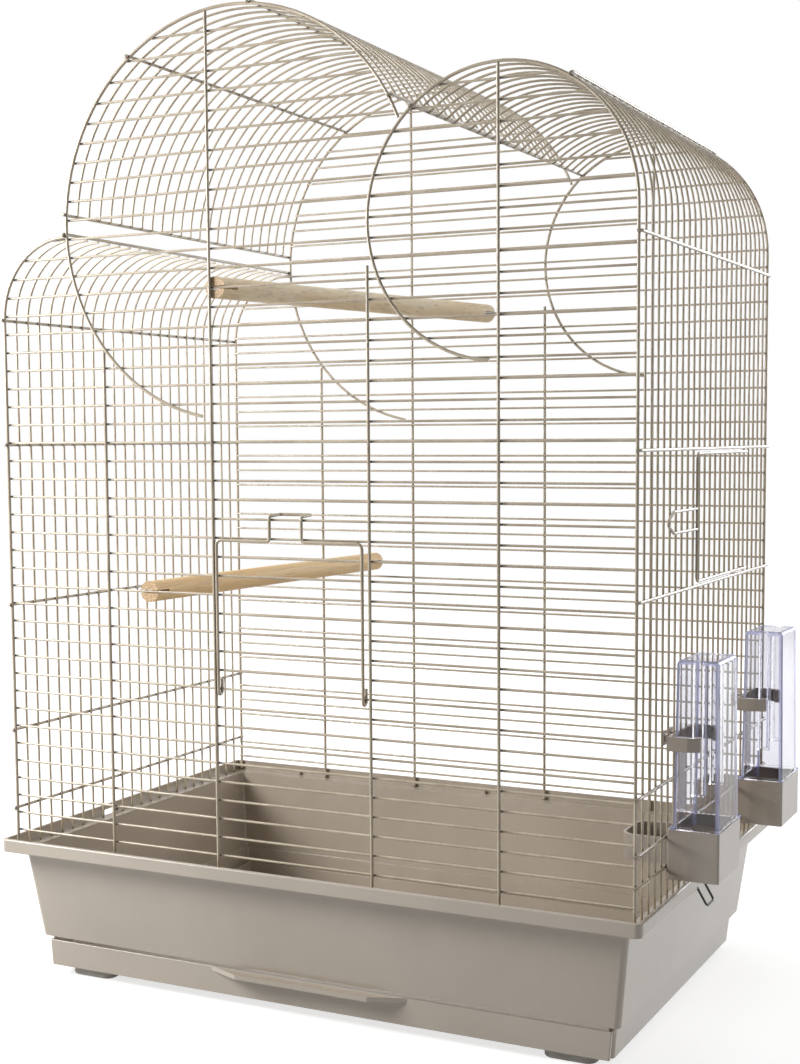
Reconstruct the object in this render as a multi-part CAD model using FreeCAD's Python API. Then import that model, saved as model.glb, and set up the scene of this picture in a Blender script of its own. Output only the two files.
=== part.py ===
import FreeCAD, Part
import math
import os

os.makedirs("parts", exist_ok=True)

V = FreeCAD.Vector
BACKWARD = V(0, 1, 0)
SIDEWAYS = V(1, 0, 0)

# Lengths are in millimetres. The cage is drawn from its front left edge wire and moved at the end.

# Wire and clearances
frame_wire = 2.4
thin_wire = 1.8
side_door_wire = 2.2
clip_wire = 1.8
weld_gap = 0.05
moving_gap = 0.3
pin_gap = 0.08
cut_overrun = 5.0
shortest_run = 0.001

# Wire cage outline seen from the front
cage_width = 526.0
cage_depth = 339.0
pitch = 14.3
first_row_z = 117.3
crown_gap = 10.0
side_wire_count = 23
left_arch_radius = 61.5
left_arch_z = 529.2
centre_arch_radius = 149.7
centre_arch_x = 213.1
centre_arch_z = 598.6
right_arch_radius = 99.6
right_arch_z = 586.3
front_short_top_z = 555.5
back_short_top_z = 550.5
centre_tail_back = 8.0
right_tail_back = 7.0
upright_shares = {"far_left": 0.1836, "left": 0.3687, "right": 0.6205, "far_right": 0.8114}

# Cross wires of the sides and the roof
wall_wire_out = 0.3
left_cross_z = [135.1, 199.5, 301.7, 430.4, 529.2]
right_cross_z = [132.3, 153.9, 192.9, 324.9, 425.4, 567.7]
left_roof_end_deg = 90.0
centre_roof_deg = [176.5, 126.0, 83.0, 28.7]
right_roof_deg = [130.7, 58.4]

# Front door
front_door_rows = range(11, 18)
front_door_hinge_row = 10
front_door_latch_row = 19
front_door_left_gap = 2.8
front_door_right_gap = 6.0
front_door_stop_row = 18
front_door_top_drop = 1.5
front_door_corner = 4.3
front_loop_drop = 4.2
front_loop_rise = 7.5
latch_shares = [0.376, 0.596]
latch_bend = 2.45
latch_lift = 2.5
latch_slope = 1.0
latch_reach = 15.7

# Side door
side_door_first_wire = 10
side_door_last_wire = 18
side_door_hinge_wire = 19
side_door_gap = 3.4
side_door_leg_gap = 2.9
side_door_corner = 4.0
side_hook_deg = 200.0
side_latch_low_z = 366.8
side_latch_height = 15.0
side_latch_reach = 68.0
side_latch_nose = 3.6
side_latch_taper = 12.0
side_latch_corner = 1.5

# Perches
perch_diameter = 16.3
perch_end_gap = 0.3
perch_slit = 2.6
perch_slit_depth = 14.0
upper_perch_row = 31
upper_perch_shares = [0.376, 0.514]
lower_perch_row = 15
lower_perch_shares = [0.254, 0.293]

# Feeders
feeder_wires = (6, 19)
feeder_opening_wires = 1
feeder_gap = 4.1
feeder_depth = 37.6
feeder_width = 56.5
feeder_bottom_z = 124.4
feeder_top_z = 160.2
feeder_wall = 2.0
feeder_corner = 1.5
feeder_base_round = 1.0
feeder_slope_rise = 10.0
trough_reach = 36.7
trough_width = 45.8
trough_nose_corner = 12.0
hopper_gap = 3.3
hopper_width = 53.0
hopper_wall = 1.6
hopper_top_z = 279.5
hopper_seat = 8.0
hopper_flange = 1.5
hopper_flange_over = 0.7
hopper_out_inset = 0.7
hopper_lean = 1.6
hopper_round = 3.5
channel_width = 5.5
channel_depth = 6.0
channel_in = 21.0
channel_bottom_z = 185.9
bracket_bottom_z = 216.0
bracket_top_z = 226.0
bracket_plate = 2.2
bracket_arm = 3.0
bracket_hook_gap = 0.4
bracket_lip_run = 8.5
bracket_spine_width = 12.0
finger_width = 6.0
finger_height = 5.0
finger_pad_width = 9.0
finger_reach = 9.6
finger_pad_thickness = 2.0

# Tray
tray_forward = 3.5
rim_over = 8.5
rim_wall = 3.0
rim_bottom_z = 100.8
rim_top_z = 111.3
rim_corner = 5.0
rim_round = 1.2
ledge_top_z = 102.5
wire_foot_gap = 0.1
tub_wall = 2.5
tub_top_inset = 5.0
tub_low_inset = 14.0
band_top_inset = 18.5
band_low_inset = 21.0
band_top_z = 28.4
tub_corner = 4.5
floor_bottom_z = 3.6
floor_thickness = 2.5
skirt_front_y = 20.0
floor_front_y = 22.5
tab_length = 9.0
tab_depth = 3.0
tab_height = 4.5
tab_shares = [0.12, 0.5, 0.88]
foot_height = 7.6
foot_edge_round = 1.5
foot_length = 40.0
foot_width = 18.0
foot_round = 8.0
foot_side_inset = 35.0
foot_end_inset = 22.5

# Drawer
drawer_face_y = 15.7
drawer_face_top_inset = 20.2
drawer_face_low_inset = 22.0
drawer_face_round = 0.8
drawer_face_bottom_z = 3.9
drawer_face_top_z = 25.0
drawer_face = 2.5
drawer_side_gap = 2.5
drawer_back_gap = 1.2
drawer_wall = 2.0
drawer_wall_top_z = 18.0
pull_reach = 11.0
pull_front_length = 114.5
pull_base_length = 183.0
pull_thickness = 3.5

# Tray clips
clip_share = 0.395
clip_width = 18.0
clip_length = 17.0
clip_pin_in = 1.7
clip_pin_z = 104.0
clip_pin_length = 4.0
clip_tilt_deg = 30.0
clip_corner = 3.0
clip_notch_side = 0.6
clip_notch_top_z = 107.0

# Derived places
thin_in = (frame_wire + thin_wire) / 2 + weld_gap
cross_out = frame_wire + weld_gap
right_arch_x = cage_width - right_arch_radius
wall_x = cage_width + wall_wire_out
wire_foot_z = ledge_top_z + wire_foot_gap
last_row_z = centre_arch_z + centre_arch_radius - crown_gap
row_count = int((last_row_z - first_row_z) / pitch) + 1
side_spacing = cage_depth / (side_wire_count + 1)
upright_x = {name: cage_width * share for name, share in upright_shares.items()}
feeder_in_x = cage_width + feeder_gap
feeder_out_x = feeder_in_x + feeder_depth
trough_nose_x = feeder_in_x - trough_reach
trough_bottom_z = right_cross_z[0] + frame_wire / 2 + moving_gap
trough_top_z = right_cross_z[1] - frame_wire / 2 - moving_gap
hopper_in_x = feeder_in_x + hopper_gap
hopper_out_x = feeder_out_x - hopper_out_inset
channel_x = feeder_in_x + channel_in
finger_pad_x = feeder_in_x - finger_reach
side_door_bottom_z = right_cross_z[3] + side_door_gap
side_door_top_z = right_cross_z[4] - side_door_gap
clip_y = cage_depth * clip_share


def row_z(row):
    return first_row_z + (row - 1) * pitch


def side_y(index):
    return side_spacing * index


def half_chord(radius, height):
    return math.sqrt(max(radius ** 2 - height ** 2, 0))


def turned(degrees):
    """Outward direction in the front plane at an angle from the right."""
    return V(math.cos(math.radians(degrees)), 0, math.sin(math.radians(degrees)))


def bent_path(points, bends):
    """Straight runs through the points, joined by tangent bends of the given radii."""
    edges = []
    start = points[0]
    for before, corner, after, bend in zip(points, points[1:], points[2:], bends):
        into = V(corner - before).normalize()
        away = V(after - corner).normalize()
        setback = bend * math.tan(into.getAngle(away) / 2)
        first = corner - into * setback
        last = corner + away * setback
        inward = V(away - into * into.dot(away)).normalize()
        centre = first + inward * bend
        middle = centre + V(corner - centre).normalize() * bend
        if (first - start).Length > shortest_run:
            edges.append(Part.makeLine(start, first))
        edges.append(Part.Arc(first, middle, last).toShape())
        start = last
    if (points[-1] - start).Length > shortest_run:
        edges.append(Part.makeLine(start, points[-1]))
    return edges


def arc_path(centre, radius, start_deg, end_deg):
    middle_deg = (start_deg + end_deg) / 2
    ends = [centre + turned(angle) * radius for angle in (start_deg, middle_deg, end_deg)]
    return Part.Arc(*ends).toShape()


def swept(edges, diameter):
    """Round wire along a smooth path."""
    first = edges[0]
    start = first.valueAt(first.FirstParameter)
    heading = first.tangentAt(first.FirstParameter)
    section = Part.Wire(Part.makeCircle(diameter / 2, start, heading))
    return Part.Wire(edges).makePipeShell([section], True, False)


def rod(start, end, diameter):
    return Part.makeCylinder(diameter / 2, (end - start).Length, start, end - start)


def block(low, high):
    size = high - low
    return Part.makeBox(size.x, size.y, size.z, low)


def rounded_outline(low, high, corner):
    """Closed level outline with rounded corners, at the height of its low point."""
    z = low.z
    half = corner * math.sqrt(0.5)
    edges = []
    centres = [V(high.x - corner, low.y + corner, z), V(high.x - corner, high.y - corner, z),
               V(low.x + corner, high.y - corner, z), V(low.x + corner, low.y + corner, z)]
    starts = [V(0, -corner, 0), V(corner, 0, 0), V(0, corner, 0), V(-corner, 0, 0)]
    middles = [V(half, -half, 0), V(half, half, 0), V(-half, half, 0), V(-half, -half, 0)]
    for index, centre in enumerate(centres):
        following = (index + 1) % len(centres)
        corner_end = centre + starts[following]
        edges.append(Part.Arc(centre + starts[index], centre + middles[index], corner_end).toShape())
        edges.append(Part.makeLine(corner_end, centres[following] + starts[following]))
    return Part.Wire(edges)


def level_edges(shape, z):
    """Edges of a shape that lie at one height."""
    edges = []
    for edge in shape.Edges:
        bounds = edge.BoundBox
        if max(abs(bounds.ZMin - z), abs(bounds.ZMax - z)) < shortest_run:
            edges.append(edge)
    return edges


def rounded_block(low, high, corner):
    face = Part.Face(rounded_outline(low, V(high.x, high.y, low.z), corner))
    return face.extrude(V(0, 0, high.z - low.z))


def cage_outline(inset, z, corner):
    return rounded_outline(V(inset, inset, z), V(cage_width - inset, cage_depth - inset, z), corner)


def prism_xz(corners, low_y, high_y):
    """Block whose front view is the given outline of x and z pairs."""
    points = [V(x, low_y, z) for x, z in corners]
    return Part.Face(Part.makePolygon(points + points[:1])).extrude(V(0, high_y - low_y, 0))


def polygon_face(points):
    return Part.Face(Part.makePolygon(points + points[:1]))


def prism_xy(corners, low_z, high_z):
    """Block whose top view is the given outline of x and y pairs."""
    points = [V(x, y, low_z) for x, y in corners]
    return polygon_face(points).extrude(V(0, 0, high_z - low_z))


# End panels

centre_arch = V(centre_arch_x, 0, centre_arch_z)
right_arch = V(right_arch_x, 0, right_arch_z)
left_arch = V(left_arch_radius, 0, left_arch_z)
butt = frame_wire / 2 + weld_gap


def arches_meet():
    """Upper point where the axes of the centre and right arches cross."""
    apart = right_arch - centre_arch
    span = apart.Length
    along = (span ** 2 + centre_arch_radius ** 2 - right_arch_radius ** 2) / (2 * span)
    aside = half_chord(centre_arch_radius, along)
    forward = V(apart).normalize()
    return centre_arch + forward * along + V(-forward.z, 0, forward.x) * aside


meeting = arches_meet()


def panel_frame(y, short_top_z):
    """Thick uprights and arched edges of an end panel, in one plane."""
    at = V(0, y, 0)
    half = frame_wire / 2
    foot = {name: V(x, y, wire_foot_z) for name, x in upright_x.items()}
    far_left_off = centre_arch_x - upright_x["far_left"] - half
    left_off = centre_arch_x - upright_x["left"] + half
    far_right_off = upright_x["far_right"] - right_arch_x + half
    tops = {
        "far_left": centre_arch_z - half_chord(centre_arch_radius + butt, far_left_off),
        "left": centre_arch_z + half_chord(centre_arch_radius - butt, left_off),
        "right": short_top_z,
        "far_right": right_arch_z + half_chord(right_arch_radius - butt, far_right_off),
    }
    wires = [rod(foot[name], V(foot[name].x, y, tops[name]), frame_wire) for name in foot]

    left_end_z = left_arch_z + left_arch_radius
    left_reach = half_chord(centre_arch_radius + butt, centre_arch_z - left_end_z + half)
    left_top = V(left_arch_radius, y, left_end_z)
    wires.append(swept([
        Part.makeLine(V(0, y, wire_foot_z), V(0, y, left_arch_z)),
        arc_path(left_arch + at, left_arch_radius, 180, 90),
        Part.makeLine(left_top, V(centre_arch_x - left_reach, y, left_end_z)),
    ], frame_wire))

    centre_tail = upright_x["left"] - centre_tail_back - centre_arch_x
    tail_deg = 360 - math.degrees(math.acos(centre_tail / centre_arch_radius))
    rim_clear = (2 * butt) / math.sin(V(meeting - centre_arch).getAngle(meeting - right_arch))
    meeting_turn = math.asin((meeting.z - centre_arch_z) / centre_arch_radius)
    end_deg = math.degrees(meeting_turn + rim_clear / centre_arch_radius)
    wires.append(swept([arc_path(centre_arch + at, centre_arch_radius, tail_deg, end_deg)], frame_wire))

    right_tail = upright_x["far_right"] - right_tail_back - right_arch_x
    right_tail_deg = 360 - math.degrees(math.acos(right_tail / right_arch_radius))
    wires.append(swept([
        Part.makeLine(V(cage_width, y, wire_foot_z), V(cage_width, y, right_arch_z)),
        arc_path(right_arch + at, right_arch_radius, 0, right_tail_deg),
    ], frame_wire))
    return wires


def row_spans(row, with_door):
    """Left and right ends of the level wires in a row."""
    z = row_z(row)
    centre_half = half_chord(centre_arch_radius, z - centre_arch_z)
    right_half = half_chord(right_arch_radius, z - right_arch_z)
    if z < left_arch_z:
        left = 0
    elif z < left_arch_z + left_arch_radius:
        left = left_arch_radius - half_chord(left_arch_radius, z - left_arch_z)
    else:
        left = centre_arch_x - centre_half
    if z < right_arch_z:
        right = cage_width
    else:
        right = right_arch_x + right_half
    if with_door and row in front_door_rows:
        return [(left, upright_x["left"]), (upright_x["right"], right)]
    if z < meeting.z:
        return [(left, right)]
    spans = [(left, centre_arch_x + centre_half)]
    if right_half > 0:
        spans.append((right_arch_x - right_half, right))
    return spans


def panel_wires(y, with_door):
    wires = []
    for row in range(1, row_count + 1):
        for left, right in row_spans(row, with_door):
            wires.append(rod(V(left, y, row_z(row)), V(right, y, row_z(row)), thin_wire))
    return wires


# Sides and roof

def cross_wire(edge_point, outward):
    """Wire from front to back outside the edge wires, hooked round both."""
    back_point = edge_point + BACKWARD * cage_depth
    reach = outward * cross_out
    front_bend = V(outward - BACKWARD).normalize() * cross_out
    back_bend = V(outward + BACKWARD).normalize() * cross_out
    tip = BACKWARD * cross_out
    return swept([
        Part.Arc(edge_point - tip, edge_point + front_bend, edge_point + reach).toShape(),
        Part.makeLine(edge_point + reach, back_point + reach),
        Part.Arc(back_point + reach, back_point + back_bend, back_point + tip).toShape(),
    ], frame_wire)


def left_wall_wire(y):
    """Straight run and bend of a left wall wire, which meet end to end."""
    centre = left_arch + V(0, y, 0)
    radius = left_arch_radius + wall_wire_out
    run = rod(V(-wall_wire_out, y, wire_foot_z), V(-wall_wire_out, y, left_arch_z), thin_wire)
    return [run, swept([arc_path(centre, radius, 180, left_roof_end_deg)], thin_wire)]


def centre_roof_wire(y):
    radius = centre_arch_radius + wall_wire_out
    first_deg, last_deg = centre_roof_deg[0], centre_roof_deg[-1]
    return swept([arc_path(centre_arch + V(0, y, 0), radius, first_deg, last_deg)], thin_wire)


def right_wall_wire(index):
    """Wire of the right wall and arch, with the door and feeder openings left out."""
    y = side_y(index)
    feeder_low_z, feeder_high_z = right_cross_z[:2]
    door_low_z, door_high_z = right_cross_z[3:5]
    foot_z = wire_foot_z
    wires = []
    if any(abs(index - middle) <= feeder_opening_wires for middle in feeder_wires):
        wires.append(rod(V(wall_x, y, foot_z), V(wall_x, y, feeder_low_z), thin_wire))
        foot_z = feeder_high_z
    if side_door_first_wire <= index <= side_door_last_wire:
        wires.append(rod(V(wall_x, y, foot_z), V(wall_x, y, door_low_z), thin_wire))
        foot_z = door_high_z
    radius = right_arch_radius + wall_wire_out
    wires.append(rod(V(wall_x, y, foot_z), V(wall_x, y, right_arch_z), thin_wire))
    wires.append(swept([arc_path(right_arch + V(0, y, 0), radius, 0, right_roof_deg[0])], thin_wire))
    return wires


left_cross = [cross_wire(V(0, 0, z), V(-1, 0, 0)) for z in left_cross_z]
left_end = turned(left_roof_end_deg)
left_cross.append(cross_wire(left_arch + left_end * left_arch_radius, left_end))
centre_cross = []
for angle in centre_roof_deg:
    centre_cross.append(cross_wire(centre_arch + turned(angle) * centre_arch_radius, turned(angle)))
right_cross = [cross_wire(V(cage_width, 0, z), SIDEWAYS) for z in right_cross_z]
right_cross += [cross_wire(right_arch + turned(a) * right_arch_radius, turned(a)) for a in right_roof_deg]
side_indices = range(1, side_wire_count + 1)
left_wall = [wire for index in side_indices for wire in left_wall_wire(side_y(index))]
centre_roof = [centre_roof_wire(side_y(index)) for index in side_indices]
right_wall = [wire for index in side_indices for wire in right_wall_wire(index)]


# Front door, one bent wire with its own level wires

door_hinge_z = row_z(front_door_hinge_row)
door_off = (frame_wire + thin_wire) / 2 + moving_gap
door_y = thin_in - door_off
door_left_x = upright_x["left"] + front_door_left_gap
door_right_x = upright_x["right"] - front_door_right_gap
loop_y = thin_in + door_off
front_door_top_z = row_z(front_door_stop_row) - front_door_top_drop
latch_left_x, latch_right_x = [door_left_x + share * (door_right_x - door_left_x) for share in latch_shares]
latch_z = row_z(front_door_latch_row) + latch_lift
latch_y = door_y + latch_reach
door_points = [
    V(door_left_x, loop_y, door_hinge_z + front_loop_rise),
    V(door_left_x, loop_y, door_hinge_z - front_loop_drop),
    V(door_left_x, door_y, door_hinge_z - front_loop_drop),
    V(door_left_x, door_y, front_door_top_z),
    V(latch_left_x, door_y, front_door_top_z),
    V(latch_left_x, door_y, latch_z),
    V(latch_left_x, latch_y, latch_z + latch_slope),
    V(latch_right_x, latch_y, latch_z + latch_slope),
    V(latch_right_x, door_y, latch_z),
    V(latch_right_x, door_y, front_door_top_z),
    V(door_right_x, door_y, front_door_top_z),
    V(door_right_x, door_y, door_hinge_z - front_loop_drop),
    V(door_right_x, loop_y, door_hinge_z - front_loop_drop),
    V(door_right_x, loop_y, door_hinge_z + front_loop_rise),
]
loop_bend = door_off
half_bends = [loop_bend, loop_bend, front_door_corner] + [latch_bend] * 3
front_door_frame = swept(bent_path(door_points, half_bends + half_bends[::-1]), frame_wire)
door_wire_y = door_y + (frame_wire + thin_wire) / 2 + weld_gap
front_door_wires = [
    rod(V(door_left_x, door_wire_y, row_z(row)), V(door_right_x, door_wire_y, row_z(row)), thin_wire)
    for row in front_door_rows
]


# Side door, hooked round an upright wire of the wall

hinge_y = side_y(side_door_hinge_wire)
side_hook = (side_door_wire + thin_wire) / 2 + moving_gap
side_door_x = wall_x + side_hook
side_door_leg_y = side_y(side_door_first_wire - 1) + side_door_leg_gap


def side_hook_point(degrees, z):
    angle = math.radians(degrees)
    return V(wall_x + side_hook * math.cos(angle), hinge_y + side_hook * math.sin(angle), z)


def side_hook_path(z):
    return Part.Arc(*[side_hook_point(share * side_hook_deg, z) for share in (1, 0.5, 0)]).toShape()


side_door_path = [side_hook_path(side_door_top_z)]
side_door_path += bent_path([
    V(side_door_x, hinge_y, side_door_top_z),
    V(side_door_x, side_door_leg_y, side_door_top_z),
    V(side_door_x, side_door_leg_y, side_door_bottom_z),
    V(side_door_x, hinge_y, side_door_bottom_z),
], [side_door_corner] * 2)
low_hook = [side_hook_point(share * side_hook_deg, side_door_bottom_z) for share in (0, 0.5, 1)]
side_door_path.append(Part.Arc(*low_hook).toShape())
side_latch_start_y = side_door_leg_y - side_door_wire / 2 - weld_gap
side_latch_nose_y = side_latch_start_y - side_latch_reach
side_latch_shoulder_y = side_latch_nose_y + side_latch_taper
side_latch_high_z = side_latch_low_z + side_latch_height
side_latch_middle_z = (side_latch_low_z + side_latch_high_z) / 2
side_latch = bent_path([
    V(side_door_x, side_latch_start_y, side_latch_low_z),
    V(side_door_x, side_latch_shoulder_y, side_latch_low_z),
    V(side_door_x, side_latch_nose_y, side_latch_middle_z - side_latch_nose / 2),
    V(side_door_x, side_latch_nose_y, side_latch_middle_z + side_latch_nose / 2),
    V(side_door_x, side_latch_shoulder_y, side_latch_high_z),
    V(side_door_x, side_latch_start_y, side_latch_high_z),
], [side_latch_corner] * 4)
side_door_frame = [swept(side_door_path, side_door_wire), swept(side_latch, side_door_wire)]
side_door_wire_x = side_door_x - (side_door_wire + thin_wire) / 2 - weld_gap
side_door_wires = [
    rod(V(side_door_wire_x, side_y(index), side_door_bottom_z),
        V(side_door_wire_x, side_y(index), side_door_top_z), thin_wire)
    for index in range(side_door_first_wire, side_door_last_wire + 1)
]


# Perches, rods with a slit at each end for a level wire

def perch(end_shares, row):
    z = row_z(row)
    front_x, back_x = [cage_width * share for share in end_shares]
    front_y = frame_wire / 2 + perch_end_gap
    back_y = cage_depth - front_y
    lean = V(back_x - front_x, back_y - front_y, 0)
    spare = V(lean).normalize() * perch_diameter
    start = V(front_x, front_y, z)
    whole = rod(start - spare, start + lean + spare, perch_diameter)
    low_x = min(front_x, back_x) - perch_diameter
    high_x = max(front_x, back_x) + perch_diameter
    body = whole.common(block(V(low_x, front_y, z - perch_diameter), V(high_x, back_y, z + perch_diameter)))
    half = perch_slit / 2
    for low_y, high_y in ((front_y - cut_overrun, front_y + perch_slit_depth),
                          (back_y - perch_slit_depth, back_y + cut_overrun)):
        body = body.cut(block(V(low_x, low_y, z - half), V(high_x, high_y, z + half)))
    return body


# Feeders

def feeder_base(y):
    """Seed cup outside the wall with a trough that reaches through it."""
    half = feeder_width / 2
    inner_half = half - feeder_wall
    low = V(feeder_in_x, y - half, feeder_bottom_z)
    cup = rounded_block(low, V(feeder_out_x, y + half, feeder_top_z), feeder_corner)
    cup = cup.makeFillet(feeder_base_round, level_edges(cup, feeder_bottom_z))
    reach_x = feeder_in_x + feeder_wall
    trough_half = trough_width / 2
    trough = rounded_block(
        V(trough_nose_x, y - trough_half, trough_bottom_z),
        V(reach_x + trough_nose_corner, y + trough_half, trough_top_z), trough_nose_corner)
    trough = trough.common(block(
        V(trough_nose_x - cut_overrun, y - half, feeder_bottom_z), V(reach_x, y + half, feeder_top_z)))
    floor_z = trough_bottom_z + feeder_wall
    hollow = prism_xz([
        (feeder_in_x + feeder_wall, floor_z),
        (feeder_out_x - feeder_wall, floor_z + feeder_slope_rise),
        (feeder_out_x - feeder_wall, feeder_top_z + cut_overrun),
        (feeder_in_x + feeder_wall, feeder_top_z + cut_overrun),
    ], y - inner_half, y + inner_half)
    scoop_half = trough_half - feeder_wall
    scoop_corner = trough_nose_corner - feeder_wall
    scoop = rounded_block(
        V(trough_nose_x + feeder_wall, y - scoop_half, floor_z),
        V(reach_x + trough_nose_corner, y + scoop_half, trough_top_z - feeder_wall), scoop_corner)
    scoop = scoop.common(block(
        V(trough_nose_x, y - half, feeder_bottom_z), V(reach_x + feeder_wall, y + half, feeder_top_z)))
    mouth = rounded_block(
        V(trough_nose_x + feeder_wall, y - scoop_half, floor_z),
        V(feeder_in_x + trough_nose_corner, y + scoop_half, trough_top_z + cut_overrun), scoop_corner)
    mouth = mouth.common(block(
        V(trough_nose_x, y - half, feeder_bottom_z), V(feeder_in_x, y + half, feeder_top_z)))
    return cup.fuse(trough).cut(hollow).cut(scoop).cut(mouth).removeSplitter()


def hopper_shell(y, foot_z, thinner):
    """Leaning box of the hopper with round edges, made smaller all round by a wall."""
    half = hopper_width / 2
    rings = []
    for z, lean in ((foot_z, 0), (hopper_top_z - thinner, hopper_lean)):
        inset = thinner + lean
        low = V(hopper_in_x + inset, y - half + inset, z)
        high = V(hopper_out_x - inset, y + half - inset, z)
        rings.append([low, V(high.x, low.y, z), high, V(low.x, high.y, z)])
    foot, top = rings
    faces = [polygon_face(foot[::-1]), polygon_face(top)]
    for index in range(len(foot)):
        faces.append(polygon_face([foot[index - 1], foot[index], top[index], top[index - 1]]))
    shell = Part.makeSolid(Part.makeShell(faces))
    rounded = [edge for edge in shell.Edges if edge.BoundBox.ZMax > foot_z + hopper_wall]
    return shell.makeFillet(hopper_round - thinner, rounded)


def hopper(y):
    """Clear seed hopper that stands in the cup, with a guide channel down each side."""
    half = hopper_width / 2
    shoulder_z = feeder_top_z + moving_gap
    flange_z = shoulder_z + hopper_flange
    neck_in = feeder_wall + moving_gap
    neck_half = feeder_width / 2 - neck_in
    neck_z = feeder_top_z - hopper_seat
    clear_x = feeder_in_x + max(neck_in, bracket_plate + moving_gap)
    neck = block(V(clear_x, y - neck_half, neck_z),
                 V(feeder_out_x - neck_in, y + neck_half, flange_z))
    mouth_in = neck_in + hopper_wall
    mouth_half = neck_half - hopper_wall
    mouth = block(V(feeder_in_x + mouth_in, y - mouth_half, neck_z - cut_overrun),
                  V(feeder_out_x - mouth_in, y + mouth_half, flange_z))
    hollow = hopper_shell(y, flange_z, hopper_wall).fuse(mouth)
    guide_half = channel_width / 2
    flange_half = feeder_width / 2 + hopper_flange_over
    flange = block(V(clear_x, y - flange_half, shoulder_z),
                   V(feeder_out_x, y + flange_half, flange_z))
    shape = hopper_shell(y, shoulder_z, 0).fuse(neck).fuse(flange)
    for side in (-1, 1):
        guide_low = channel_bottom_z - hopper_wall
        deep = half - channel_depth
        wide = guide_half + hopper_wall
        ends = sorted([y + side * (deep - hopper_wall), y + side * (half + cut_overrun)])
        hollow = hollow.cut(block(V(channel_x - wide, ends[0], guide_low),
                                  V(channel_x + wide, ends[1], hopper_top_z + cut_overrun)))
        ends = sorted([y + side * deep, y + side * (half + cut_overrun)])
        shape = shape.cut(block(V(channel_x - guide_half, ends[0], channel_bottom_z),
                                V(channel_x + guide_half, ends[1], hopper_top_z + cut_overrun)))
    return shape.cut(hollow).removeSplitter()


def feeder_bracket(y):
    """Hanger with arms round the hopper and fingers between the wall's wires."""
    half = hopper_width / 2
    back_x = feeder_in_x
    plate_x = back_x + bracket_plate
    arm_in = half + moving_gap
    arm_out = arm_in + bracket_arm
    hook_half = channel_width / 2 - bracket_hook_gap
    bracket = block(V(back_x, y - arm_out, bracket_bottom_z), V(plate_x, y + arm_out, bracket_top_z))
    spine_half = bracket_spine_width / 2
    spine = block(V(back_x, y - spine_half, feeder_top_z + weld_gap),
                  V(plate_x, y + spine_half, bracket_top_z))
    bracket = bracket.fuse(spine)
    hook_in = half - channel_depth + bracket_hook_gap
    finger_z = (bracket_bottom_z + bracket_top_z - finger_height) / 2
    for side in (-1, 1):
        lip_x = channel_x + hook_half
        arm = prism_xy([
            (back_x, y + side * arm_out), (lip_x - bracket_lip_run, y + side * arm_out),
            (lip_x, y + side * half), (lip_x, y + side * hook_in),
            (channel_x - hook_half, y + side * hook_in), (channel_x - hook_half, y + side * arm_in),
            (back_x, y + side * arm_in),
        ], bracket_bottom_z, bracket_top_z)
        bracket = bracket.fuse(arm)
        middle = y + side * side_spacing / 2
        bracket = bracket.fuse(block(
            V(finger_pad_x, middle - finger_width / 2, finger_z),
            V(plate_x, middle + finger_width / 2, finger_z + finger_height)))
        bracket = bracket.fuse(block(
            V(finger_pad_x, middle - finger_pad_width / 2, bracket_bottom_z),
            V(finger_pad_x + finger_pad_thickness, middle + finger_pad_width / 2, bracket_top_z)))
    return bracket.removeSplitter()


# Tray

upper_wall = (band_top_z, tub_low_inset, rim_bottom_z, tub_top_inset)
lower_band = (floor_bottom_z, band_low_inset, band_top_z, band_top_inset)


def sloped_inset(wall, z):
    low_z, low_inset, high_z, high_inset = wall
    return low_inset + (high_inset - low_inset) * (z - low_z) / (high_z - low_z)


def tub_loft(wall, low_z, high_z, thinner):
    corner = tub_corner - thinner
    outlines = [cage_outline(sloped_inset(wall, z) + thinner, z, corner) for z in (low_z, high_z)]
    return Part.makeLoft(outlines, True, True)


def rim_block(over, low_z, high_z, corner):
    return Part.Face(cage_outline(-over, low_z, corner)).extrude(V(0, 0, high_z - low_z))


def clip_pin_x(side):
    outer = rim_over - clip_pin_in
    return -outer if side < 0 else cage_width + outer


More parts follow.
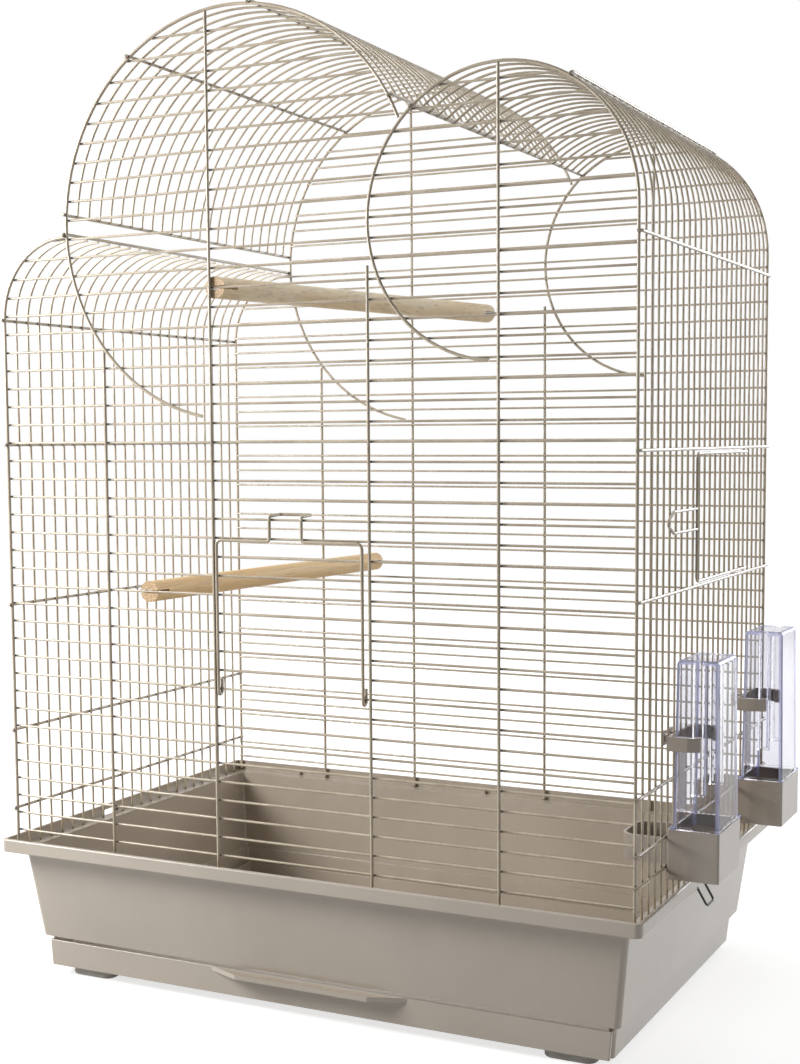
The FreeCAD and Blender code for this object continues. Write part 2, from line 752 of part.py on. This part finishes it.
def tray_tub():
    """Flared tub on a narrower band, with a rim, a ledge for the wires and an opening for the drawer."""
    rim = rim_block(rim_over, rim_bottom_z, rim_top_z, rim_corner)
    rim = rim.makeFillet(rim_round, level_edges(rim, rim_top_z) + level_edges(rim, rim_bottom_z))
    shape = tub_loft(upper_wall, band_top_z, rim_bottom_z, 0)
    shape = shape.fuse(tub_loft(lower_band, floor_bottom_z, band_top_z, 0)).fuse(rim)
    rim_hollow = rim_block(rim_over - rim_wall, ledge_top_z, rim_top_z + cut_overrun, rim_corner - rim_wall)
    step_z = band_top_z + tub_wall
    shape = shape.cut(rim_hollow)
    shape = shape.cut(tub_loft(upper_wall, step_z, ledge_top_z + cut_overrun, tub_wall))
    floor_top_z = floor_bottom_z + floor_thickness
    shape = shape.cut(tub_loft(lower_band, floor_top_z, step_z + cut_overrun, tub_wall))
    shape = shape.cut(block(V(-rim_over, -rim_over, -cut_overrun),
                            V(cage_width + rim_over, skirt_front_y, band_top_z)))
    inner_inset = band_low_inset + tub_wall
    shape = shape.cut(block(V(inner_inset, -rim_over, -cut_overrun),
                            V(cage_width - inner_inset, floor_front_y, band_top_z)))
    shape = shape.cut(block(V(inner_inset, -rim_over, floor_top_z),
                            V(cage_width - inner_inset, inner_inset + tub_wall, band_top_z)))
    tab_in = rim_over - rim_wall
    for share in tab_shares:
        middle = cage_width * share
        for low_y, high_y in ((-tab_in, tab_depth - tab_in),
                              (cage_depth + tab_in - tab_depth, cage_depth + tab_in)):
            tab_low = V(middle - tab_length / 2, low_y - weld_gap, ledge_top_z - weld_gap)
            tab_high = V(middle + tab_length / 2, high_y + weld_gap, ledge_top_z + tab_height)
            shape = shape.fuse(block(tab_low, tab_high))
    notch_half = (clip_width + clip_wire) / 2 + clip_notch_side
    pin_reach = clip_width / 2 + clip_pin_length + pin_gap
    for side in (-1, 1):
        inner_x = -tab_in if side < 0 else cage_width + tab_in
        ends = sorted([inner_x, inner_x + side * (rim_wall + cut_overrun)])
        shape = shape.cut(block(V(ends[0], clip_y - notch_half, rim_bottom_z - cut_overrun),
                                V(ends[1], clip_y + notch_half, clip_notch_top_z)))
        pin_x = clip_pin_x(side)
        bore_start = V(pin_x, clip_y - pin_reach, clip_pin_z)
        bore_end = V(pin_x, clip_y + pin_reach, clip_pin_z)
        shape = shape.cut(rod(bore_start, bore_end, clip_wire + 2 * pin_gap))
    return shape.removeSplitter()


def tray_feet():
    feet = []
    for x in (foot_side_inset, cage_width - foot_side_inset - foot_length):
        for y in (foot_end_inset, cage_depth - foot_end_inset - foot_width):
            low = V(x, y, floor_bottom_z - foot_height)
            foot = rounded_block(low, V(x + foot_length, y + foot_width, floor_bottom_z), foot_round)
            feet.append(foot.makeFillet(foot_edge_round, level_edges(foot, low.z)))
    return feet


def drawer():
    """Shallow pan behind a sloping-ended front with a ledge to pull."""
    face_back_y = drawer_face_y + drawer_face
    face = prism_xz([
        (drawer_face_low_inset, drawer_face_bottom_z),
        (cage_width - drawer_face_low_inset, drawer_face_bottom_z),
        (cage_width - drawer_face_top_inset, drawer_face_top_z),
        (drawer_face_top_inset, drawer_face_top_z),
    ], drawer_face_y, face_back_y)
    front_edges = [edge for edge in face.Edges if edge.BoundBox.YMax < drawer_face_y + shortest_run]
    face = face.makeFillet(drawer_face_round, front_edges)
    floor_z = floor_bottom_z + floor_thickness + moving_gap
    side_inset = band_low_inset + tub_wall + drawer_side_gap
    back_y = cage_depth - band_low_inset - tub_wall - drawer_back_gap
    pan = block(V(side_inset, face_back_y, floor_z), V(cage_width - side_inset, back_y, drawer_wall_top_z))
    hollow_inset = side_inset + drawer_wall
    hollow_high = V(cage_width - hollow_inset, back_y - drawer_wall, drawer_wall_top_z + cut_overrun)
    hollow = block(V(hollow_inset, face_back_y, floor_z + drawer_wall), hollow_high)
    middle = cage_width / 2
    pull_z = drawer_face_top_z - pull_thickness
    pull_root_y = drawer_face_y + drawer_face
    pull_corners = [
        V(middle - pull_base_length / 2, pull_root_y, pull_z),
        V(middle - pull_front_length / 2, drawer_face_y - pull_reach, pull_z),
        V(middle + pull_front_length / 2, drawer_face_y - pull_reach, pull_z),
        V(middle + pull_base_length / 2, pull_root_y, pull_z),
    ]
    pull = Part.Face(Part.makePolygon(pull_corners + pull_corners[:1])).extrude(V(0, 0, pull_thickness))
    return face.fuse(pan.cut(hollow)).fuse(pull).removeSplitter()


def tray_clip(side):
    """Wire bail hung from two pins in a notch of the rim."""
    pin = V(clip_pin_x(side), clip_y, clip_pin_z)
    tilt = math.radians(clip_tilt_deg)
    hang = V(side * math.sin(tilt), 0, -math.cos(tilt)) * clip_length
    half = BACKWARD * (clip_width / 2)
    out = BACKWARD * (clip_width / 2 + clip_pin_length)
    pin_bend = clip_wire / 2 + weld_gap
    path = bent_path([pin - out, pin - half, pin - half + hang, pin + half + hang, pin + half, pin + out],
                     [pin_bend, clip_corner, clip_corner, pin_bend])
    return swept(path, clip_wire)


# Nodes, moved so that the middle of the foot of the whole is the origin

clip_lean = clip_length * math.sin(math.radians(clip_tilt_deg))
clip_out = rim_over - clip_pin_in + clip_lean + clip_wire / 2
frame_shift = V((clip_out - feeder_out_x) / 2, tray_forward - cage_depth / 2, foot_height - floor_bottom_z)
tray_shift = V(0, -tray_forward, 0)


def save(name, solids, own_shift=V(0, 0, 0)):
    shape = Part.makeCompound(solids)
    shape.translate(frame_shift + own_shift)
    shape.exportStep("parts/" + name + ".step")


save("tray_tub", [tray_tub()], tray_shift)
save("tray_feet", tray_feet(), tray_shift)
save("drawer", [drawer()], tray_shift)
save("left_tray_clip", [tray_clip(-1)], tray_shift)
save("right_tray_clip", [tray_clip(1)], tray_shift)
save("front_frame", panel_frame(0, front_short_top_z))
save("front_wires", panel_wires(thin_in, True))
save("back_frame", panel_frame(cage_depth, back_short_top_z))
save("back_wires", panel_wires(cage_depth - thin_in, False))
save("left_wall_wires", left_wall)
save("left_cross_wires", left_cross)
save("centre_roof_wires", centre_roof)
save("centre_cross_wires", centre_cross)
save("right_wall_wires", right_wall)
save("right_cross_wires", right_cross)
save("upper_perch", [perch(upper_perch_shares, upper_perch_row)])
save("lower_perch", [perch(lower_perch_shares, lower_perch_row)])
save("front_door_frame", [front_door_frame])
save("front_door_wires", front_door_wires)
save("side_door_frame", side_door_frame)
save("side_door_wires", side_door_wires)
for place, wire_index in zip(("front", "rear"), feeder_wires):
    feeder_y = side_y(wire_index)
    save(place + "_feeder_base", [feeder_base(feeder_y)])
    save(place + "_feeder_hopper", [hopper(feeder_y)])
    save(place + "_feeder_bracket", [feeder_bracket(feeder_y)])
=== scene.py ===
import math

import bpy
from mathutils import Color, Matrix, Vector


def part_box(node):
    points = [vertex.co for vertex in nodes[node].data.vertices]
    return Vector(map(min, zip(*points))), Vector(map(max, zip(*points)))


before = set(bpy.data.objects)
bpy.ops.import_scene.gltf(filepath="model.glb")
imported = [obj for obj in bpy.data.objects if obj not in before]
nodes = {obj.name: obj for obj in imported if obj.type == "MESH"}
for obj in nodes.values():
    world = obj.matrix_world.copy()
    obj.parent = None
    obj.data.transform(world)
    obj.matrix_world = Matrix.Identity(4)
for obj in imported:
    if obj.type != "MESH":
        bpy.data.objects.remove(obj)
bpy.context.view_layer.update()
scene = bpy.context.scene
scene.view_settings.view_transform = "Standard"

# Lengths are in metres, and the tones are colours as a screen shows them, from 0 to this
screen_white = 255

# Picture and camera, from a fit to the level and upright wires
picture_long_side = 1064
sensor = 36.0
focal_px = 1602.43
centre_right_px = 13.94
centre_down_px = 41.35
camera_place = Vector((0.58526, -1.17659, 0.43912))
camera_yaw = math.radians(26.288)
camera_pitch = math.radians(4.868)
camera_roll = math.radians(-0.327)

# Wires: painted shade in crossing nooks begins at the first share of openness, is dark at the second
wire_tones = ((166, 152, 130), (182, 168, 146), (197, 184, 163))
wire_speck_tone = (140, 124, 100)
nook_shade_tone = (58, 51, 43)
nook_shade_reach = 0.003
nook_shade_samples = 6
nook_shade_start = 0.85
nook_shade_full = 0.55
clip_tones = ((22, 21, 20), (44, 42, 40))

# Mouldings and feet
tray_tones = ((168, 157, 143), (175, 164, 150), (182, 171, 157))
feeder_tones = ((154, 143, 131), (162, 151, 139), (170, 159, 147))
plastic_roughness = 0.24
plastic_roughness_swing = 0.03
pad_tones = ((186, 180, 172), (204, 198, 190))

# Perches: a grain says how often the pattern varies in a metre along X, Y and Z. The turn comes
# after that stretch, so it gives each rod its own pattern while the grain runs straight to the back.
upper_perch_tones = ((232, 206, 165), (242, 220, 183), (247, 231, 201))
lower_perch_tones = ((232, 191, 135), (243, 207, 153), (248, 220, 172))
upper_perch_turn = math.radians(12.2)
lower_perch_turn = math.radians(3.5)
wide_grain = (60.0, 3.0, 60.0)
fine_grain = (420.0, 9.0, 420.0)
streak_tone = (150, 112, 70)
streak_strength = 0.32
end_grain_tones = ((132, 100, 66), (214, 182, 138))
cut_end_facing = 0.9

# Clear hoppers, as the CAD has them
hopper_middle_x = 0.27445
hopper_half_x = 0.0168
hopper_half_y = 0.0265
hopper_foot_z = 0.1645
hopper_top_z = 0.2835
hopper_slope = 0.0139
hopper_edge = 0.0034
clear_tones = ((223, 223, 227), (231, 231, 235))
clear_edge_tone = (212, 215, 248)
clear_edge_transmission = 0.5

# Light and floor
white = (1, 1, 1, 1)
lamp_target = Vector((0, 0, 0.35))
lamps = {
    "key": {"place": Vector((-0.85, -0.62, 0.72)), "size": 0.5, "energy": 18.5},
    "fill": {"place": Vector((2.0, 0.35, 0.9)), "size": 1.0, "energy": 8.0},
    "rim": {"place": Vector((0.9, 2.2, 0.9)), "size": 0.8, "energy": 20.0},
    "top": {"place": Vector((0.1, 0.75, 2.3)), "size": 1.8, "energy": 20.0},
}
world_level = 0.06
floor_size = 40.0
floor_tone = 0.5
floor_glow = 1 - floor_tone * world_level
shadow_glow = 0.72
shadow_start = 0.4
shadow_end = 1.2

# Values that a noise pattern mostly keeps between
noise_low = 0.25
noise_high = 0.75

# Colour sockets of a mix node, which share their names with its sockets of other kinds
mix_factor = 0
mix_first = 6
mix_second = 7
mix_result = 2


def paint(tone):
    """Screen colour as the linear colour that the shaders take."""
    screen = Color([part / screen_white for part in tone])
    return (*screen.from_srgb_to_scene_linear(), 1.0)


class Shading:
    """The nodes of a material or a world, with the shader that they feed."""

    def __init__(self, owner, shader):
        owner.use_nodes = True
        self.owner = owner
        self.tree = owner.node_tree
        self.shader = self.tree.nodes[shader]

    def add(self, kind, **settings):
        node = self.tree.nodes.new(kind)
        for key, value in settings.items():
            setattr(node, key, value)
        return node

    def feed(self, node, socket, source):
        """Links an output into a socket, or sets the socket's own value."""
        if isinstance(source, bpy.types.NodeSocket):
            self.tree.links.new(source, node.inputs[socket])
        else:
            node.inputs[socket].default_value = source

    def set(self, **values):
        """Feeds the shader's sockets, named with underscores for spaces."""
        for socket, value in values.items():
            self.feed(self.shader, socket.replace("_", " "), value)

    def place(self, scale=(1, 1, 1), turn=(0, 0, 0)):
        """Coordinates of the object, stretched and then turned."""
        coordinates = self.add("ShaderNodeTexCoord")
        mapping = self.add("ShaderNodeMapping")
        self.feed(mapping, "Vector", coordinates.outputs["Object"])
        self.feed(mapping, "Scale", scale)
        self.feed(mapping, "Rotation", turn)
        return mapping.outputs["Vector"]

    def split(self, vector):
        """The parts of a vector, under the names X, Y and Z."""
        node = self.add("ShaderNodeSeparateXYZ")
        self.feed(node, "Vector", vector)
        return node.outputs

    def noise(self, vector, scale, detail=3.0, roughness=0.5, distortion=0.0):
        node = self.add("ShaderNodeTexNoise")
        self.feed(node, "Vector", vector)
        self.feed(node, "Scale", scale)
        self.feed(node, "Detail", detail)
        self.feed(node, "Roughness", roughness)
        self.feed(node, "Distortion", distortion)
        return node.outputs["Fac"]

    def ramp(self, factor, stops, tones):
        """Goes through the tones as the factor passes the stops."""
        node = self.add("ShaderNodeValToRGB")
        self.feed(node, "Fac", factor)
        elements = node.color_ramp.elements
        # A new ramp has its two end stops already
        for stop in stops[1:-1]:
            elements.new(stop)
        for element, stop, tone in zip(elements, stops, tones):
            element.position = stop
            element.color = paint(tone)
        return node.outputs["Color"]

    def remap(self, value, from_min=0.0, from_max=1.0, to_min=0.0, to_max=1.0, smooth=False):
        """Brings one range of numbers to another and holds at its ends."""
        shape = "SMOOTHSTEP" if smooth else "LINEAR"
        node = self.add("ShaderNodeMapRange", interpolation_type=shape)
        self.feed(node, "Value", value)
        self.feed(node, "From Min", from_min)
        self.feed(node, "From Max", from_max)
        self.feed(node, "To Min", to_min)
        self.feed(node, "To Max", to_max)
        return node.outputs["Result"]

    def spread(self, noise, low, high):
        """Brings a noise value to a range of plain numbers."""
        return self.remap(noise, noise_low, noise_high, low, high)

    def mix(self, factor, first, second):
        node = self.add("ShaderNodeMix", data_type="RGBA")
        self.feed(node, mix_factor, factor)
        self.feed(node, mix_first, first)
        self.feed(node, mix_second, second)
        return node.outputs[mix_result]

    def math(self, operation, *values):
        node = self.add("ShaderNodeMath", operation=operation)
        for index, value in enumerate(values):
            self.feed(node, index, value)
        return node.outputs["Value"]

    def bump(self, height, strength, distance):
        node = self.add("ShaderNodeBump")
        self.feed(node, "Height", height)
        self.feed(node, "Strength", strength)
        self.feed(node, "Distance", distance)
        self.set(Normal=node.outputs["Normal"])

    def camera_ray(self):
        """One for what the camera sees straight, zero for the rest."""
        return self.add("ShaderNodeLightPath").outputs["Is Camera Ray"]

    def seen_ray(self):
        """One for rays that show the background: straight, mirrored or through clear plastic."""
        path = self.add("ShaderNodeLightPath").outputs
        indirect = self.math("MAXIMUM", path["Is Glossy Ray"], path["Is Transmission Ray"])
        return self.math("MAXIMUM", path["Is Camera Ray"], indirect)


def new_surface(name):
    return Shading(bpy.data.materials.new(name), "Principled BSDF")


# Looks

def painted_nook_shade(surface):
    """Painted shade: one in the nooks where wires cross and touch, zero on their open lengths."""
    nook = surface.add("ShaderNodeAmbientOcclusion", samples=nook_shade_samples)
    surface.feed(nook, "Distance", nook_shade_reach)
    return surface.remap(nook.outputs["AO"], nook_shade_start, nook_shade_full, smooth=True)


def wire_paint():
    """Beige coating, a little uneven in tone, with painted shade where wires cross, and fine orange
    peel.
    """
    surface = new_surface("wire_paint")
    spot = surface.place()
    tone = surface.ramp(surface.noise(spot, scale=45.0), stops=(0.3, 0.5, 0.7), tones=wire_tones)
    specks = surface.remap(surface.noise(spot, scale=700.0, detail=2.0), from_min=0.66, from_max=0.74)
    coated = surface.mix(specks, tone, paint(wire_speck_tone))
    # Painted shade: the coating's colour goes dark in the nooks where wires cross
    surface.set(Base_Color=surface.mix(painted_nook_shade(surface), coated, paint(nook_shade_tone)))
    surface.set(Roughness=surface.spread(surface.noise(spot, scale=120.0), low=0.2, high=0.3))
    surface.set(Specular_IOR_Level=0.45, Coat_Weight=0.3, Coat_Roughness=0.12)
    surface.bump(surface.noise(spot, scale=1500.0, detail=2.0), strength=0.12, distance=0.0002)
    return surface.owner


def moulded_plastic(name, tones):
    """Satin moulding with cloudy tone and a fine grain."""
    surface = new_surface(name)
    spot = surface.place()
    clouds = surface.noise(spot, scale=7.0, detail=4.0)
    tone = surface.ramp(clouds, stops=(0.32, 0.5, 0.68), tones=tones)
    grain = surface.noise(spot, scale=420.0, detail=2.0)
    dark_share = surface.spread(grain, low=0.0, high=0.12)
    surface.set(Base_Color=surface.mix(dark_share, tone, paint(tones[0])))
    smoothest = plastic_roughness - plastic_roughness_swing
    roughest = plastic_roughness + plastic_roughness_swing
    surface.set(Roughness=surface.spread(surface.noise(spot, scale=9.0), smoothest, roughest))
    surface.set(Specular_IOR_Level=0.7)
    surface.bump(grain, strength=0.02, distance=0.0003)
    return surface.owner


def rubber_pad():
    """Matt pale pad with a fine rough grain."""
    surface = new_surface("foot_rubber")
    spot = surface.place()
    tone = surface.ramp(surface.noise(spot, scale=60.0), stops=(0.35, 0.65), tones=pad_tones)
    surface.set(Base_Color=tone)
    surface.set(Roughness=surface.spread(surface.noise(spot, scale=200.0), low=0.6, high=0.75))
    surface.bump(surface.noise(spot, scale=1800.0, detail=2.0), strength=0.2, distance=0.0003)
    return surface.owner


def black_wire():
    """Dark coating on the clips' wire, with fine orange peel."""
    surface = new_surface("clip_wire")
    spot = surface.place()
    tone = surface.ramp(surface.noise(spot, scale=300.0), stops=(0.35, 0.7), tones=clip_tones)
    surface.set(Base_Color=tone)
    surface.set(Roughness=surface.spread(surface.noise(spot, scale=400.0), low=0.3, high=0.5))
    surface.bump(surface.noise(spot, scale=2000.0, detail=2.0), strength=0.1, distance=0.0002)
    return surface.owner


def cut_end(surface):
    """One on the faces that look to the front or the back, zero on the rest."""
    normal = surface.add("ShaderNodeNewGeometry").outputs["True Normal"]
    facing = surface.math("ABSOLUTE", surface.split(normal)["Y"])
    return surface.math("GREATER_THAN", facing, cut_end_facing)


def perch_wood(name, turn, tones):
    """Pale turned wood with long grain, and open pores on its cut ends."""
    surface = new_surface(name)
    dark, middle, light = tones
    wide_spot = surface.place(wide_grain, (0, 0, turn))
    fine_spot = surface.place(fine_grain, (0, 0, turn))
    wide = surface.noise(wide_spot, scale=1.0, detail=5.0, roughness=0.6, distortion=0.6)
    fine = surface.noise(fine_spot, scale=1.0, detail=4.0, roughness=0.6)
    tone = surface.ramp(wide, stops=(0.25, 0.45, 0.6, 0.8), tones=(dark, middle, light, middle))
    streaks = surface.remap(fine, from_min=0.5, from_max=0.35, to_max=streak_strength)
    side = surface.mix(streaks, tone, paint(streak_tone))
    pores = surface.noise(surface.place(), scale=900.0, detail=3.0)
    end = surface.ramp(pores, stops=(0.35, 0.6), tones=end_grain_tones)
    surface.set(Base_Color=surface.mix(cut_end(surface), side, end))
    surface.set(Roughness=surface.spread(fine, low=0.5, high=0.68), Specular_IOR_Level=0.7)
    surface.bump(fine, strength=0.3, distance=0.0004)
    return surface.owner


def near_wall(surface, distance, wall):
    """One close to a wall at the given distance, falling to zero an edge's width before it."""
    return surface.remap(distance, wall - hopper_edge, wall - hopper_edge / 2, smooth=True)


def hopper_edges(surface, spot, middle_y):
    """One along a hopper's upright and top edges, zero on its walls, which lean in as they rise."""
    at = surface.split(spot)
    rise = surface.math("SUBTRACT", at["Z"], hopper_foot_z)
    lean = surface.math("MULTIPLY", rise, hopper_slope)
    off_x = surface.math("ABSOLUTE", surface.math("SUBTRACT", at["X"], hopper_middle_x))
    off_y = surface.math("ABSOLUTE", surface.math("SUBTRACT", at["Y"], middle_y))
    wide_wall = near_wall(surface, surface.math("ADD", off_x, lean), hopper_half_x)
    narrow_wall = near_wall(surface, surface.math("ADD", off_y, lean), hopper_half_y)
    top = near_wall(surface, rise, hopper_top_z - hopper_foot_z)
    upright = surface.math("MULTIPLY", wide_wall, narrow_wall)
    side = surface.math("MAXIMUM", wide_wall, narrow_wall)
    return surface.math("MAXIMUM", upright, surface.math("MULTIPLY", side, top))


def clear_plastic(name, middle_y):
    """Clear moulding with soft ripples, violet and less clear along its edges."""
    surface = new_surface(name)
    spot = surface.place()
    edge = hopper_edges(surface, spot, middle_y)
    tone = surface.ramp(surface.noise(spot, scale=12.0), stops=(0.3, 0.7), tones=clear_tones)
    surface.set(Base_Color=surface.mix(edge, tone, paint(clear_edge_tone)))
    surface.set(Roughness=surface.spread(surface.noise(spot, scale=30.0), low=0.0, high=0.02))
    surface.set(Transmission_Weight=surface.remap(edge, to_min=1.0, to_max=clear_edge_transmission))
    surface.set(IOR=1.04, Coat_Weight=0.35, Coat_IOR=1.5, Coat_Roughness=0.05)
    surface.bump(surface.noise(spot, scale=25.0, detail=2.0), strength=0.02, distance=0.002)
    return surface.owner


def dress(material, *names):
    """Gives the named nodes one material."""
    for name in names:
        mesh = nodes[name].data
        mesh.materials.clear()
        mesh.materials.append(material)


dress(
    wire_paint(),
    "front_frame", "front_wires", "back_frame", "back_wires",
    "left_wall_wires", "left_cross_wires",
    "centre_roof_wires", "centre_cross_wires",
    "right_wall_wires", "right_cross_wires",
    "front_door_frame", "front_door_wires",
    "side_door_frame", "side_door_wires")
dress(moulded_plastic("tray_plastic", tray_tones), "tray_tub", "drawer")
dress(rubber_pad(), "tray_feet")
dress(black_wire(), "left_tray_clip", "right_tray_clip")
dress(perch_wood("upper_perch_wood", upper_perch_turn, upper_perch_tones), "upper_perch")
dress(perch_wood("lower_perch_wood", lower_perch_turn, lower_perch_tones), "lower_perch")
feeder_plastic = moulded_plastic("feeder_plastic", feeder_tones)
for place in ("front", "rear"):
    dress(feeder_plastic, place + "_feeder_base", place + "_feeder_bracket")
    hopper = place + "_feeder_hopper"
    low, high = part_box(hopper)
    dress(clear_plastic(place + "_clear_plastic", (low.y + high.y) / 2), hopper)


# Stage

def white_world():
    """White to the camera and in reflections, a plain level on everything else."""
    scene.world = bpy.data.worlds.new("studio")
    studio = Shading(scene.world, "Background")
    studio.set(Color=white, Strength=studio.remap(studio.seen_ray(), to_min=world_level))


def white_floor():
    """Pale floor that shows white and keeps the shadow round the object."""
    half = floor_size / 2
    corners = [(-half, -half, 0), (half, -half, 0), (half, half, 0), (-half, half, 0)]
    mesh = bpy.data.meshes.new("floor")
    mesh.from_pydata(corners, [], [(0, 1, 2, 3)])
    floor = bpy.data.objects.new("floor", mesh)
    scene.collection.objects.link(floor)
    surface = new_surface("floor")
    grey = (floor_tone, floor_tone, floor_tone, 1)
    surface.set(Base_Color=grey, Roughness=0.9, Specular_IOR_Level=0.0)
    # The camera sees less glow near the object, so that the shadow shows there. Reflections don't.
    near_glow = surface.remap(surface.camera_ray(), to_min=floor_glow, to_max=shadow_glow)
    away = surface.add("ShaderNodeVectorMath", operation="LENGTH")
    surface.feed(away, "Vector", surface.place())
    glow = surface.remap(
        away.outputs["Value"], shadow_start, shadow_end, near_glow, floor_glow, smooth=True)
    seen_glow = surface.math("MULTIPLY", surface.seen_ray(), glow)
    surface.set(Emission_Color=white, Emission_Strength=seen_glow)
    mesh.materials.append(surface.owner)


def lamp(name, place, size, energy):
    """Square lamp that faces the target."""
    data = bpy.data.lights.new(name, "AREA")
    data.shape = "SQUARE"
    data.size = size
    data.energy = energy
    light = bpy.data.objects.new(name, data)
    light.location = place
    light.rotation_euler = (lamp_target - place).to_track_quat("-Z", "Y").to_euler()
    scene.collection.objects.link(light)


def camera():
    """Camera of the fitted place, turn, focal length and picture centre."""
    forward = Vector((
        -math.sin(camera_yaw) * math.cos(camera_pitch),
        math.cos(camera_yaw) * math.cos(camera_pitch),
        -math.sin(camera_pitch)))
    right = Vector((math.cos(camera_yaw), math.sin(camera_yaw), 0))
    down = forward.cross(right)
    across = right * math.cos(camera_roll) - down * math.sin(camera_roll)
    up = right * -math.sin(camera_roll) - down * math.cos(camera_roll)
    turn = Matrix((across, up, -forward)).transposed().to_4x4()
    data = bpy.data.cameras.new("camera")
    data.sensor_width = sensor
    data.lens = focal_px / picture_long_side * sensor
    data.shift_x = -centre_right_px / picture_long_side
    data.shift_y = centre_down_px / picture_long_side
    data.clip_end = floor_size
    eye = bpy.data.objects.new("camera", data)
    eye.matrix_world = Matrix.Translation(camera_place) @ turn
    scene.collection.objects.link(eye)
    scene.camera = eye


white_world()
white_floor()
for name, settings in lamps.items():
    lamp(name, **settings)
camera()
